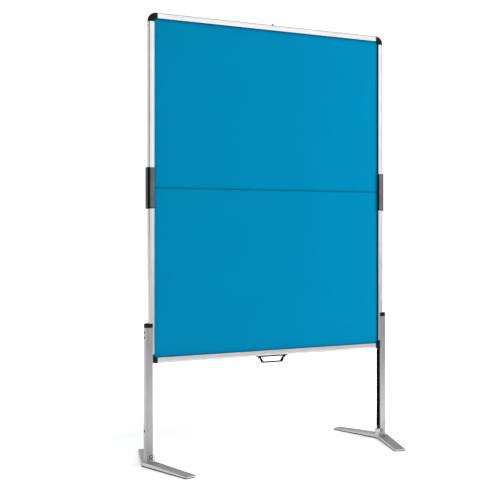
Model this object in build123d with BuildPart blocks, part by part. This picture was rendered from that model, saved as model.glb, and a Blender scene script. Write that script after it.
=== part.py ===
from build123d import *
import os
from math import atan, cos, radians, sin, sqrt, tan

# Folding pinboard on two legs with V-shaped feet. Millimetres, +Z up, X along the
# board's width, -Y towards the viewer. The origin is on the floor, midway between
# the feet and in the middle of the frame's depth.

# Board
BOARD_WIDTH = 1200.0
BOARD_HEIGHT = 1500.0
FLOOR_GAP = 435.0            # from the floor to the board's underside

# Frame rail, an aluminium extrusion
RAIL_FACE = 25.0             # width seen from the front
RAIL_DEPTH = 26.0
RAIL_WALL = 2.0
RAIL_ROUND = 8.0             # rounding of the outer long edges
RAIL_EDGE = 0.8              # rounding of the inner long edges
LINE_WIDTH = 1.2             # fine groove along the front and the back of the rail
LINE_DEPTH = 0.5

# Panels: a soft fibre core with felt on both sides
CORE_THICK = 7.0
FELT_THICK = 1.0
PANEL_GRIP = 10.0            # how far the panel reaches into the rail
SEAM_GAP = 1.2               # between the two halves
SEAM_STRIP = 0.8             # edging on each panel's free edge

# Corner caps and the brackets inside them
CAP_OUTER_ROUND = 35.0
CAP_INNER_ROUND = 13.0
CAP_LAND = 5.0
BRACKET_REACH = 78.0         # from the corner along each rail
CORNER_SCREW_AT = 57.0       # from the corner along each rail
SCREW_HEAD_R = 4.0
SCREW_SHANK_R = 2.0
SCREW_HEAD_TALL = 1.8

# Fold hinge behind the frame
HINGE_SETBACK = 4.0          # from the frame's back face to the hinge axis
HINGE_PIN_R = 2.5
LEAF_THICK = 3.0
LEAF_WIDTH = 20.0
LEAF_LONG = 62.0
LEAF_START = 13.0            # from the seam to the plate of each leaf
LEAF_INSET = 2.0             # from the rail's outer face to the leaf
KNUCKLE_WIDE = 9.0           # middle knuckle, on the upper leaf
LEAF_SCREW_PITCH = 24.0
LEAF_SCREW_FIRST = 26.0      # from the seam
LEAF_SCREW_R = 2.0
LEAF_SCREW_HEAD_R = 3.5
SCREW_TIP = 2.0              # of a screw past the wall it holds in

# Hinge covers
COVER_TALL = 178.0
COVER_WALL = 3.2
COVER_OVERLAP = 1.3          # past the rail's inner edge
COVER_ROUND = 7.0            # rounding of the outer front edge
COVER_END_ROUND = 7.0
COVER_LIP_TALL = 22.0        # block that grips the back of the lower rail
COVER_LIP_WIDE = 17.0

# Legs, an open aluminium channel around the side rail
LEG_WALL = 1.7
LEG_LIP = 17.0               # from the board's outer face to the channel's open edge
LEG_CHAMBER = 12.3           # hollow outside the board's outer face
LEG_OVERLAP = 154.0          # of the channel over the side rail
LEG_CAP_TALL = 19.0
LEG_CAP_PLUG = 14.0
LEG_CAP_ROUND = 10.0
LEG_ROUND = 8.0
CLAMP_SCREW_DROPS = (21.0, 42.0)   # from the channel's upper end
STOP_SCREW_UP = 149.0        # from the floor
CLAMP_HEAD_R = 4.0
CLAMP_SHANK_R = 2.5
CLAMP_HEAD_TALL = 1.2
FILLER_GROOVE = 10.0         # width and depth of the groove along the filler's rear edge
FILLER_INSET = 1.0

# Feet
FOOT_PLATE = 14.5            # height of the hub, and of the arms where they meet it
TIP_PLATE = 5.0              # height of the arms at their tips
FOOT_PAD = 3.5
FOOT_PAD_INSET = 0.5
ARM_LENGTH = 292.0           # along the outer edge, from the vertex
ARM_WIDTH = 50.0
ARM_SPLAY = 17.5             # degrees from the Y axis
ARM_TIP_ROUND = 3.0
VERTEX_OUT = 28.0            # from the board's outer face to the foot's vertex
HUB_REACH = 46.0             # along the outer edge, from the vertex
GROOVE_COUNT = 7
GROOVE_WIDE = 3.0
GROOVE_DEEP = 1.0
TENON_LONG = 34.0
TENON_WIDE = 30.0
TENON_THICK = 3.0
ARM_SCREW_SHARES = (0.3, 0.75)     # along the tenon
ARM_SCREW_R = 2.0
ARM_SCREW_HEAD_R = 3.5
ARM_SCREW_HEAD_TALL = 1.4
PIVOT_IN = 8.0               # from the board's outer face to the foot's pivot
PIVOT_UP = 40.0
PIVOT_PIN_R = 4.0
PIVOT_HEAD_R = 7.5
PIVOT_HEAD_TALL = 1.6
LUG_RISE = 8.0               # of the lug above the pivot
LUG_INBOARD = 20.0           # of the lug inboard of the pivot

# Handle under the bottom rail
HANDLE_LENGTH = 156.0
HANDLE_PLATE = 4.0
HANDLE_DEPTH = 20.0
HANDLE_EAR = 4.0
HANDLE_ROUND = 5.0           # of the base plate's corners
HANDLE_PIVOT_DROP = 8.5      # from the board's underside
HANDLE_PIN_R = 2.0
HANDLE_EYE_R = 3.8
BAIL_TOP_HALF = 64.5         # half of the width between the straps' upper ends
BAIL_BAR_HALF = 51.5
BAIL_DROP = 28.75            # from the board's underside to the bar's middle
BAIL_THICK = 5.0
BAIL_BAR_WIDE = 16.0
BAIL_EYE_WIDE = 8.0
BAIL_STRAP_WIDE = 6.0        # of the straps where they meet the bar
HANDLE_SCREW_AT = 40.0

# Stud on the top rail
STUD_R = 4.5
STUD_RISE = 3.5
STUD_FORWARD = 7.0

# Clearances
SLIP = 0.3                   # between bodies that move past each other
RUNNING = 0.05               # radial, of a pin in its hole
FIT = 0.1                    # between fixed pieces

# Places worked out from the sizes above
HALF_W = BOARD_WIDTH / 2
HALF_D = RAIL_DEPTH / 2
WEB_X = HALF_W + SLIP        # inner face of the outer walls of legs and hinge covers
Z_LOW = FLOOR_GAP
Z_SEAM = FLOOR_GAP + BOARD_HEIGHT / 2
Z_TOP = FLOOR_GAP + BOARD_HEIGHT
PANEL_THICK = CORE_THICK + 2 * FELT_THICK
CHAMBER_ROUND = RAIL_ROUND - RAIL_WALL
CHAMBER_WIDE = RAIL_FACE - PANEL_GRIP - FIT - 2 * RAIL_WALL
CAP_SPAN = CAP_LAND + max(CAP_OUTER_ROUND, RAIL_FACE + CAP_INNER_ROUND - CAP_LAND)
HINGE_Y = HALF_D + HINGE_SETBACK
KNUCKLE_R = HINGE_SETBACK - SLIP
LEAF_X = HALF_W - LEAF_INSET - LEAF_WIDTH / 2
PANEL_HALF_W = HALF_W - RAIL_FACE + PANEL_GRIP
PANEL_LOW = Z_LOW + RAIL_FACE - PANEL_GRIP
PANEL_ROUND = CAP_OUTER_ROUND - RAIL_FACE + PANEL_GRIP
STRIP_TOP = Z_SEAM - SEAM_GAP / 2
PANEL_HIGH = STRIP_TOP - SEAM_STRIP
LEG_HALF_D = HALF_D + SLIP + LEG_WALL
LEG_OUT_X = WEB_X + LEG_WALL + LEG_CHAMBER + LEG_WALL
LEG_TOP = Z_LOW + LEG_OVERLAP
FOOT_TOP = FOOT_PAD + FOOT_PLATE
PIVOT_X = HALF_W - PIVOT_IN
HUB_SWING = PIVOT_UP - FOOT_TOP - 2 * SLIP
LEG_BOTTOM = PIVOT_UP - sqrt(HUB_SWING ** 2 - (LEG_LIP - PIVOT_IN) ** 2)
FILLER_LOW = PIVOT_UP + LUG_INBOARD + SLIP
VERTEX_X = HALF_W + VERTEX_OUT
SPLAY = radians(ARM_SPLAY)
MID_PLANE = Plane.YZ
SEAM_PLANE = Plane.XY.offset(Z_SEAM)

os.makedirs("parts", exist_ok=True)


def save(builder, name):
    """Label one finished piece and write its STEP file."""
    builder.part.label = name
    export_step(builder.part, f"parts/{name}.step")
    print(f"{name}: {builder.part.volume / 1000:.1f} cm3")


def save_mirrored(builder, name, about):
    """Write the mirror image of a piece as a piece of its own."""
    with BuildPart() as twin:
        mirror(builder.part, about=about)
    save(twin, name)
    return twin


def out_plane(x, y, z):
    """Plane whose normal is +X, with local x along +Y."""
    return Plane(origin=(x, y, z), x_dir=(0, 1, 0), z_dir=(1, 0, 0))


def back_plane(x, y, z):
    """Plane whose normal is +Y, with local x along +X."""
    return Plane(origin=(x, y, z), x_dir=(1, 0, 0), z_dir=(0, 1, 0))


def bore(plane, radius, depth):
    """Cut a round hole from a plane against its normal."""
    with BuildSketch(plane) as disc:
        Circle(radius)
    extrude(disc.sketch, amount=-depth, mode=Mode.SUBTRACT)


def boss(plane, radius, height):
    """Add a round boss from a plane along its normal."""
    with BuildSketch(plane) as disc:
        Circle(radius)
    extrude(disc.sketch, amount=height)


def soft_rectangle(x_in, x_out, half, radius, mode):
    """Rectangle from x_in to x_out, half tall each way, with its two corners at x_out rounded."""
    with Locations((x_in, 0)):
        Rectangle(x_out - x_in - radius, 2 * half, align=(Align.MIN, Align.CENTER), mode=mode)
        Rectangle(x_out - x_in, 2 * (half - radius), align=(Align.MIN, Align.CENTER), mode=mode)
    with Locations((x_out - radius, half - radius), (x_out - radius, radius - half)):
        Circle(radius, mode=mode)


def rail_section(plane):
    """Section of a frame rail: local x is outward, 0 at the outer face, local y is depth."""
    with BuildSketch(plane) as section:
        soft_rectangle(-RAIL_FACE, 0, HALF_D, RAIL_ROUND, Mode.ADD)
        fillet(section.vertices().group_by(Axis.X)[0], RAIL_EDGE)
        with Locations((-RAIL_FACE, 0)):
            Rectangle(2 * (PANEL_GRIP + FIT), PANEL_THICK + 2 * FIT, mode=Mode.SUBTRACT)
        soft_rectangle(-RAIL_WALL - CHAMBER_WIDE, -RAIL_WALL, HALF_D - RAIL_WALL, CHAMBER_ROUND,
                       Mode.SUBTRACT)
        lip_tall = HALF_D - PANEL_THICK / 2 - FIT - 2 * RAIL_WALL
        lip_mid = HALF_D - RAIL_WALL - lip_tall / 2
        with Locations((-RAIL_FACE + RAIL_WALL + (PANEL_GRIP - RAIL_WALL) / 2, lip_mid),
                       (-RAIL_FACE + RAIL_WALL + (PANEL_GRIP - RAIL_WALL) / 2, -lip_mid)):
            Rectangle(PANEL_GRIP - RAIL_WALL, lip_tall, mode=Mode.SUBTRACT)
        line_at = -RAIL_ROUND - LINE_WIDTH
        with Locations((line_at, HALF_D), (line_at, -HALF_D)):
            Rectangle(LINE_WIDTH, 2 * LINE_DEPTH, mode=Mode.SUBTRACT)
    return section


# Side rail of the lower half
rail_low = Z_LOW + CAP_SPAN
leaf_screw_ups = (LEAF_SCREW_FIRST, LEAF_SCREW_FIRST + LEAF_SCREW_PITCH)
leaf_screw_x = HALF_W - RAIL_WALL - CHAMBER_WIDE / 2
cover_low = Z_SEAM - COVER_TALL / 2
lip_screw_z = cover_low + COVER_LIP_TALL / 2

with BuildPart() as side_rail:
    section = rail_section(Plane((HALF_W, 0, rail_low)))
    extrude(section.sketch, amount=STRIP_TOP - rail_low)
    bore(out_plane(HALF_W, 0, Z_LOW + CORNER_SCREW_AT), SCREW_HEAD_R + FIT, RAIL_WALL + FIT)
    for up in leaf_screw_ups:
        bore(back_plane(leaf_screw_x, HALF_D, Z_SEAM - up), LEAF_SCREW_R + FIT, RAIL_WALL + SCREW_TIP + FIT)

with BuildPart() as lower_side_rail:
    add(side_rail.part)
    bore(back_plane(leaf_screw_x, HALF_D, lip_screw_z), LEAF_SCREW_R + FIT, RAIL_WALL + SCREW_TIP + FIT)

save(lower_side_rail, "lower_side_rail_right")
save_mirrored(lower_side_rail, "lower_side_rail_left", MID_PLANE)
upper_side_rail = save_mirrored(side_rail, "upper_side_rail_right", SEAM_PLANE)
save_mirrored(upper_side_rail, "upper_side_rail_left", MID_PLANE)


# Bottom rail and top rail
def cross_rail(z, out):
    """Rail along X whose outer face is at height z, facing up (out 1) or down (out -1)."""
    start = CAP_SPAN - HALF_W
    section = rail_section(Plane(origin=(start, 0, z), x_dir=(0, 0, out), z_dir=(1, 0, 0)))
    extrude(section.sketch, amount=-2 * start)
    for x in (CORNER_SCREW_AT - HALF_W, HALF_W - CORNER_SCREW_AT):
        bore(Plane(origin=(x, 0, z), z_dir=(0, 0, out)), SCREW_HEAD_R + FIT, RAIL_WALL + FIT)


with BuildPart() as bottom_rail:
    cross_rail(Z_LOW, -1)
    for x in (-HANDLE_SCREW_AT, HANDLE_SCREW_AT):
        bore(Plane(origin=(x, 0, Z_LOW), z_dir=(0, 0, -1)), SCREW_SHANK_R + FIT, RAIL_WALL + FIT)
save(bottom_rail, "bottom_rail")

stud_foot = Z_TOP - RAIL_ROUND / 2
with BuildPart() as top_rail:
    cross_rail(Z_TOP, 1)
    bore(Plane((0, -STUD_FORWARD, Z_TOP)), STUD_R + FIT, Z_TOP - stud_foot)
save(top_rail, "top_rail")

with BuildPart() as top_stud:
    boss(Plane((0, -STUD_FORWARD, stud_foot)), STUD_R, Z_TOP + STUD_RISE - stud_foot)
    fillet(top_stud.faces().sort_by(Axis.Z)[-1].edges(), STUD_RISE / 2)
save(top_stud, "top_stud")


# Corner caps
def corner_outline(inset, thick, span, inner_round):
    """Outline of a lower right corner piece in X and Z, from inset to thick inside the board's edge."""
    out_x = HALF_W - inset
    low_z = Z_LOW + inset
    round_r = CAP_OUTER_ROUND - inset
    in_x = HALF_W - thick
    high_z = Z_LOW + thick
    with BuildSketch(Plane.XZ) as outline:
        with BuildLine():
            arc = JernArc((out_x - round_r, low_z), (1, 0), round_r, 90)
            Polyline(arc @ 1, (out_x, Z_LOW + span), (in_x, Z_LOW + span), (in_x, high_z),
                     (HALF_W - span, high_z), (HALF_W - span, low_z), arc @ 0)
        make_face()
        fillet(outline.vertices().sort_by_distance((in_x, high_z))[0], inner_round)
    return outline


def round_outer_rims(piece, inset, radius):
    """Round the long outer edges of a corner piece whose outer faces are inset from the board's."""
    rims = piece.edges().filter_by(
        lambda e: abs(e.center().Y) > HALF_D - inset - FIT / 2
        and (
            e.center().X > HALF_W - inset - FIT / 2
            or e.center().Z < Z_LOW + inset + FIT / 2
            or (e.geom_type == GeomType.CIRCLE and e.radius > CAP_OUTER_ROUND - inset - FIT / 2)
        )
    )
    fillet(rims, radius)


def bracket_solid(gap):
    """L-shaped bracket inside the rails' chambers, smaller than the chamber by gap."""
    inset = RAIL_WALL + gap
    thick = RAIL_WALL + CHAMBER_WIDE - gap
    with BuildPart(mode=Mode.PRIVATE) as bracket:
        outline = corner_outline(inset, thick, BRACKET_REACH - gap, CAP_OUTER_ROUND - thick)
        extrude(outline.sketch, amount=HALF_D - inset, both=True)
        round_outer_rims(bracket, inset, CHAMBER_ROUND - gap)
    return bracket


def panel_sheet(y, thick, gap):
    """Flat layer of the lower panel from y to y + thick, grown by gap around its edge."""
    with BuildPart(mode=Mode.PRIVATE) as layer:
        with Locations((0, y, PANEL_LOW - gap)):
            Box(2 * (PANEL_HALF_W + gap), thick, PANEL_HIGH - PANEL_LOW + gap,
                align=(Align.CENTER, Align.MIN, Align.MIN))
        fillet(layer.edges().filter_by(Axis.Y).group_by(Axis.Z)[0], PANEL_ROUND + gap)
    return layer


with BuildPart() as corner_cap:
    outline = corner_outline(0, RAIL_FACE, CAP_SPAN, CAP_INNER_ROUND)
    extrude(outline.sketch, amount=HALF_D, both=True)
    round_outer_rims(corner_cap, 0, RAIL_ROUND)
    add(panel_sheet(-PANEL_THICK / 2 - FIT, PANEL_THICK + 2 * FIT, FIT).part, mode=Mode.SUBTRACT)
    add(bracket_solid(0).part, mode=Mode.SUBTRACT)
save(corner_cap, "corner_cap_lower_right")
save_mirrored(corner_cap, "corner_cap_lower_left", MID_PLANE)
corner_cap_up = save_mirrored(corner_cap, "corner_cap_upper_right", SEAM_PLANE)
save_mirrored(corner_cap_up, "corner_cap_upper_left", MID_PLANE)

# Brackets that join the rails, with the screws through the rails' outer walls
bracket_face = RAIL_WALL + FIT
screw_deep = CHAMBER_WIDE - 2 * FIT
with BuildPart() as corner_bracket:
    add(bracket_solid(FIT).part)
    bore(out_plane(HALF_W, 0, Z_LOW + CORNER_SCREW_AT), SCREW_SHANK_R + FIT, RAIL_FACE)
    bore(Plane(origin=(HALF_W - CORNER_SCREW_AT, 0, Z_LOW), z_dir=(0, 0, -1)),
         SCREW_SHANK_R + FIT, RAIL_FACE)
save(corner_bracket, "corner_bracket_lower_right")
save_mirrored(corner_bracket, "corner_bracket_lower_left", MID_PLANE)
corner_bracket_up = save_mirrored(corner_bracket, "corner_bracket_upper_right", SEAM_PLANE)
save_mirrored(corner_bracket_up, "corner_bracket_upper_left", MID_PLANE)


def corner_screw(seat):
    """Pan-head screw sunk in the rail's outer wall; seat is a plane on the bracket's face."""
    boss(seat, SCREW_HEAD_R, SCREW_HEAD_TALL)
    boss(seat, SCREW_SHANK_R, -screw_deep)


with BuildPart() as corner_screws:
    corner_screw(out_plane(HALF_W - bracket_face, 0, Z_LOW + CORNER_SCREW_AT))
    corner_screw(Plane(origin=(HALF_W - CORNER_SCREW_AT, 0, Z_LOW + bracket_face), z_dir=(0, 0, -1)))
    mirror(about=MID_PLANE)
save(corner_screws, "lower_corner_screws")
save_mirrored(corner_screws, "upper_corner_screws", SEAM_PLANE)


# Panels, felt and edging
panel_layers = (
    ("panel_core", -CORE_THICK / 2, CORE_THICK),
    ("felt_front", -PANEL_THICK / 2, FELT_THICK),
    ("felt_back", CORE_THICK / 2, FELT_THICK),
)
for layer_name, layer_y, layer_thick in panel_layers:
    panel = panel_sheet(layer_y, layer_thick, 0)
    save(panel, f"lower_{layer_name}")
    save_mirrored(panel, f"upper_{layer_name}", SEAM_PLANE)

with BuildPart() as seam_strip:
    with Locations((0, 0, PANEL_HIGH)):
        Box(2 * PANEL_HALF_W, PANEL_THICK, SEAM_STRIP, align=(Align.CENTER, Align.CENTER, Align.MIN))
save(seam_strip, "lower_seam_strip")
save_mirrored(seam_strip, "upper_seam_strip", SEAM_PLANE)


# Fold hinge: a leaf on the back of each side rail, joined by a pin along X
def leaf_plate():
    """Plate of a hinge leaf below the seam, with its screw holes."""
    with Locations((LEAF_X, HALF_D, Z_SEAM - LEAF_START)):
        Box(LEAF_WIDTH, LEAF_THICK, LEAF_LONG - LEAF_START, align=(Align.CENTER, Align.MIN, Align.MAX))
    for up in leaf_screw_ups:
        bore(back_plane(leaf_screw_x, HALF_D + LEAF_THICK, Z_SEAM - up), LEAF_SCREW_R + FIT, LEAF_THICK)
        bore(back_plane(leaf_screw_x, HALF_D + LEAF_THICK, Z_SEAM - up),
             LEAF_SCREW_HEAD_R + FIT, LEAF_THICK / 2)


def knuckle(x, width):
    """Knuckle of a leaf below the seam, from x to x + width, with its bore."""
    step = LEAF_START - 2 * SLIP
    with BuildSketch(out_plane(x, 0, Z_SEAM)) as ear:
        with BuildLine():
            Polyline((HALF_D, -LEAF_START - LEAF_THICK), (HALF_D + LEAF_THICK, -LEAF_START - LEAF_THICK),
                     (HALF_D + LEAF_THICK, -step), (HINGE_Y + KNUCKLE_R, -step), (HINGE_Y + KNUCKLE_R, 0),
                     (HINGE_Y - KNUCKLE_R, 0), (HALF_D, -KNUCKLE_R), (HALF_D, -LEAF_START - LEAF_THICK))
        make_face()
        with Locations((HINGE_Y, 0)):
            Circle(KNUCKLE_R)
            Circle(HINGE_PIN_R + RUNNING, mode=Mode.SUBTRACT)
    extrude(ear.sketch, amount=width)


leaf_x_low = LEAF_X - LEAF_WIDTH / 2
side_knuckle = (LEAF_WIDTH - KNUCKLE_WIDE) / 2 - SLIP
with BuildPart() as lower_leaf:
    leaf_plate()
    knuckle(leaf_x_low, side_knuckle)
    knuckle(leaf_x_low + LEAF_WIDTH - side_knuckle, side_knuckle)
save(lower_leaf, "hinge_leaf_lower_right")
save_mirrored(lower_leaf, "hinge_leaf_lower_left", MID_PLANE)

with BuildPart() as upper_leaf_flipped:
    leaf_plate()
    knuckle(LEAF_X - KNUCKLE_WIDE / 2, KNUCKLE_WIDE)
upper_leaf = save_mirrored(upper_leaf_flipped, "hinge_leaf_upper_right", SEAM_PLANE)
save_mirrored(upper_leaf, "hinge_leaf_upper_left", MID_PLANE)

cover_out_x = WEB_X + COVER_WALL
pin_end_x = cover_out_x - COVER_WALL / 3
with BuildPart() as hinge_pin:
    boss(out_plane(leaf_x_low, HINGE_Y, Z_SEAM), HINGE_PIN_R, pin_end_x - leaf_x_low - FIT)
save(hinge_pin, "hinge_pin_right")
save_mirrored(hinge_pin, "hinge_pin_left", MID_PLANE)

leaf_screw_deep = LEAF_THICK / 2 + RAIL_WALL + SCREW_TIP
with BuildPart() as leaf_screws:
    for up in leaf_screw_ups:
        seat = back_plane(leaf_screw_x, HALF_D + LEAF_THICK / 2, Z_SEAM - up)
        boss(seat, LEAF_SCREW_HEAD_R, LEAF_THICK / 2 - FIT)
        boss(seat, LEAF_SCREW_R, -leaf_screw_deep)
    mirror(about=MID_PLANE)
save(leaf_screws, "lower_leaf_screws")
save_mirrored(leaf_screws, "upper_leaf_screws", SEAM_PLANE)

# Hinge cover: front wall and outer wall along both halves, fixed to the lower one
cover_front_y = HALF_D + SLIP + COVER_WALL
cover_back_y = HINGE_Y + KNUCKLE_R
cover_in_x = HALF_W - RAIL_FACE - COVER_OVERLAP
with BuildPart() as hinge_cover:
    with BuildSketch(Plane.XY.offset(cover_low)) as cover_section:
        with Locations((cover_in_x, -cover_front_y)):
            Rectangle(cover_out_x - cover_in_x, cover_front_y + cover_back_y,
                      align=(Align.MIN, Align.MIN))
        outer_corner = cover_section.vertices().sort_by_distance((cover_out_x, -cover_front_y))[0]
        fillet(outer_corner, COVER_ROUND)
        round_x = WEB_X - RAIL_ROUND
        round_y = RAIL_ROUND - HALF_D - SLIP
        with Locations((round_x, -HALF_D - SLIP)):
            Rectangle(RAIL_FACE, 2 * RAIL_DEPTH, align=(Align.MAX, Align.MIN), mode=Mode.SUBTRACT)
        with Locations((WEB_X, round_y)):
            Rectangle(RAIL_FACE, 2 * RAIL_DEPTH, align=(Align.MAX, Align.MIN), mode=Mode.SUBTRACT)
        with Locations((round_x, round_y)):
            Circle(RAIL_ROUND, mode=Mode.SUBTRACT)
    extrude(amount=COVER_TALL)
    with Locations((WEB_X, HALF_D, cover_low)):
        Box(COVER_LIP_WIDE, cover_back_y - HALF_D, COVER_LIP_TALL,
            align=(Align.MAX, Align.MIN, Align.MIN))
    with BuildSketch(Plane.YZ):
        with Locations(((cover_back_y - cover_front_y) / 2, Z_SEAM)):
            RectangleRounded(cover_front_y + cover_back_y, COVER_TALL, COVER_END_ROUND)
    extrude(amount=BOARD_WIDTH, both=True, mode=Mode.INTERSECT)
    bore(out_plane(pin_end_x, HINGE_Y, Z_SEAM), HINGE_PIN_R + FIT, COVER_WALL)
    bore(back_plane(leaf_screw_x, cover_back_y, lip_screw_z), LEAF_SCREW_R + FIT, HINGE_SETBACK * 2)
    bore(back_plane(leaf_screw_x, cover_back_y, lip_screw_z), LEAF_SCREW_HEAD_R + FIT, LEAF_THICK / 2)
save(hinge_cover, "hinge_cover_right")
save_mirrored(hinge_cover, "hinge_cover_left", MID_PLANE)

lip_screw_deep = cover_back_y - HALF_D - LEAF_THICK / 2 + RAIL_WALL + SCREW_TIP
with BuildPart() as cover_screws:
    boss(back_plane(leaf_screw_x, cover_back_y - LEAF_THICK / 2, lip_screw_z),
         LEAF_SCREW_HEAD_R, LEAF_THICK / 2 - FIT)
    boss(back_plane(leaf_screw_x, cover_back_y - LEAF_THICK / 2, lip_screw_z),
         LEAF_SCREW_R, -lip_screw_deep)
    mirror(about=MID_PLANE)
save(cover_screws, "hinge_cover_screws")

# Legs
leg_in_x = HALF_W - LEG_LIP
leg_slot_half = HALF_D + SLIP
clamp_heights = [LEG_TOP - drop for drop in CLAMP_SCREW_DROPS] + [STOP_SCREW_UP]
with BuildPart() as leg_channel:
    with BuildSketch(Plane.XY.offset(LEG_BOTTOM)):
        soft_rectangle(leg_in_x, LEG_OUT_X, LEG_HALF_D, LEG_ROUND, Mode.ADD)
        with Locations((WEB_X, 0)):
            Rectangle(2 * LEG_LIP, 2 * leg_slot_half, align=(Align.MAX, Align.CENTER),
                      mode=Mode.SUBTRACT)
        soft_rectangle(WEB_X + LEG_WALL, LEG_OUT_X - LEG_WALL, leg_slot_half, LEG_ROUND - LEG_WALL,
                       Mode.SUBTRACT)
        line_x = LEG_OUT_X - LEG_ROUND - LINE_WIDTH
        with Locations((line_x, LEG_HALF_D), (line_x, -LEG_HALF_D)):
            Rectangle(LINE_WIDTH, 2 * LINE_DEPTH, mode=Mode.SUBTRACT)
    extrude(amount=LEG_TOP - LEG_BOTTOM)
    for z in clamp_heights:
        bore(out_plane(LEG_OUT_X, 0, z), CLAMP_SHANK_R + FIT, LEG_OUT_X - HALF_W)
        bore(out_plane(LEG_OUT_X, 0, z), CLAMP_HEAD_R + FIT, CLAMP_HEAD_TALL)
    for y, back in ((-LEG_HALF_D, -1), (LEG_HALF_D, 1)):
        bore(Plane(origin=(PIVOT_X, y, PIVOT_UP), z_dir=(0, back, 0)), PIVOT_PIN_R + FIT, 2 * LEG_WALL)
save(leg_channel, "leg_channel_right")
save_mirrored(leg_channel, "leg_channel_left", MID_PLANE)

with BuildPart() as leg_cap:
    with BuildSketch(Plane.XY.offset(LEG_TOP)):
        soft_rectangle(leg_in_x, LEG_OUT_X, LEG_HALF_D, LEG_ROUND, Mode.ADD)
    extrude(amount=LEG_CAP_TALL)
    with BuildSketch(Plane.XZ) as cap_front:
        with Locations((leg_in_x, LEG_TOP)):
            Rectangle(LEG_OUT_X - leg_in_x, LEG_CAP_TALL, align=(Align.MIN, Align.MIN))
        fillet(cap_front.vertices().group_by(Axis.Y)[-1].sort_by(Axis.X)[-1], LEG_CAP_ROUND)
    extrude(amount=LEG_HALF_D, both=True, mode=Mode.INTERSECT)
    with BuildSketch(Plane.YZ) as cap_side:
        with Locations((0, LEG_TOP)):
            Rectangle(2 * LEG_HALF_D, LEG_CAP_TALL, align=(Align.CENTER, Align.MIN))
        fillet(cap_side.vertices().group_by(Axis.Y)[-1], LEG_CAP_ROUND / 2)
    extrude(amount=LEG_OUT_X, mode=Mode.INTERSECT)
    with Locations((WEB_X, 0, LEG_TOP)):
        Box(2 * LEG_LIP, 2 * leg_slot_half, LEG_CAP_TALL, align=(Align.MAX, Align.CENTER, Align.MIN),
            mode=Mode.SUBTRACT)
    with Locations((WEB_X + LEG_WALL + FIT, 0, LEG_TOP)):
        Box(LEG_CHAMBER - LEG_ROUND, 2 * (leg_slot_half - FIT), LEG_CAP_PLUG,
            align=(Align.MIN, Align.CENTER, Align.MAX))
save(leg_cap, "leg_cap_right")
save_mirrored(leg_cap, "leg_cap_left", MID_PLANE)

# Filler in the open side of the leg; its hollowed top carries the board's corner
filler_half = leg_slot_half - FIT
filler_out_x = WEB_X - FIT
with BuildPart() as leg_filler:
    with BuildSketch(Plane.XZ):
        with Locations((leg_in_x + FILLER_INSET, FILLER_LOW)):
            Rectangle(filler_out_x - leg_in_x - FILLER_INSET, Z_LOW + CAP_OUTER_ROUND / 2 - FILLER_LOW,
                      align=(Align.MIN, Align.MIN))
        with Locations((HALF_W - CAP_OUTER_ROUND, Z_LOW + CAP_OUTER_ROUND)):
            Circle(CAP_OUTER_ROUND + SLIP, mode=Mode.SUBTRACT)
    extrude(amount=filler_half, both=True)
    with Locations((leg_in_x + FILLER_INSET, filler_half, FILLER_LOW)):
        Box(2 * FILLER_GROOVE, 2 * FILLER_GROOVE, 2 * BOARD_HEIGHT, mode=Mode.SUBTRACT)
    bore(out_plane(WEB_X, 0, STOP_SCREW_UP), CLAMP_SHANK_R + FIT, LEG_LIP / 2)
save(leg_filler, "leg_filler_right")
save_mirrored(leg_filler, "leg_filler_left", MID_PLANE)

with BuildPart() as leg_screws:
    for z in clamp_heights:
        seat = out_plane(LEG_OUT_X - CLAMP_HEAD_TALL, 0, z)
        tip_x = WEB_X if z > Z_LOW else WEB_X - LEG_LIP / 3
        boss(seat, CLAMP_HEAD_R, CLAMP_HEAD_TALL - FIT)
        boss(seat, CLAMP_SHANK_R, tip_x - LEG_OUT_X + CLAMP_HEAD_TALL)
save(leg_screws, "leg_screws_right")
save_mirrored(leg_screws, "leg_screws_left", MID_PLANE)

# Pivot of the foot: a headed pin through the leg and the foot's lug
with BuildPart() as foot_pivot:
    boss(Plane(origin=(PIVOT_X, -LEG_HALF_D, PIVOT_UP), z_dir=(0, 1, 0)), PIVOT_PIN_R, 2 * LEG_HALF_D)
    boss(Plane(origin=(PIVOT_X, -LEG_HALF_D, PIVOT_UP), z_dir=(0, -1, 0)), PIVOT_HEAD_R, PIVOT_HEAD_TALL)
    boss(Plane(origin=(PIVOT_X, LEG_HALF_D, PIVOT_UP), z_dir=(0, 1, 0)), PIVOT_HEAD_R, PIVOT_HEAD_TALL)
    end_rims = foot_pivot.edges().filter_by(
        lambda e: abs(e.center().Y) > LEG_HALF_D + PIVOT_HEAD_TALL - FIT
    )
    fillet(end_rims, PIVOT_HEAD_TALL / 2)
save(foot_pivot, "foot_pivot_right")
save_mirrored(foot_pivot, "foot_pivot_left", MID_PLANE)


# Feet: a hub with a lug, two arms, rubber strips and screws
def arm_plane(z):
    """Plane of the front arm: local x along its outer edge from the vertex, local y outboard."""
    return Plane(origin=(VERTEX_X, 0, z), x_dir=(-sin(SPLAY), -cos(SPLAY), 0), z_dir=(0, 0, 1))


def mitre_outline(reach, inset):
    """Front half of the V from the vertex to reach, drawn in the arm's plane, less an inset."""
    with BuildLine() as edge:
        Polyline((inset * tan(SPLAY), -inset), (reach, -inset), (reach, inset - ARM_WIDTH),
                 ((ARM_WIDTH - inset) * tan(SPLAY), inset - ARM_WIDTH), (inset * tan(SPLAY), -inset))
    make_face(edge.edges())


def tread_grooves():
    """Grooves along the top of the hub and the arms, drawn in a plane whose local x runs along the arm."""
    for groove in range(GROOVE_COUNT):
        with Locations((0, -groove_pitch * (groove + 1))):
            Rectangle(2 * ARM_LENGTH, GROOVE_WIDE)


groove_pitch = ARM_WIDTH / (GROOVE_COUNT + 1)
tenon_z = FOOT_PAD + FOOT_PLATE / 2 - TENON_THICK / 2
arm_screw_spots = [(HUB_REACH + TENON_LONG * share, -ARM_WIDTH / 2) for share in ARM_SCREW_SHARES]


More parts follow.
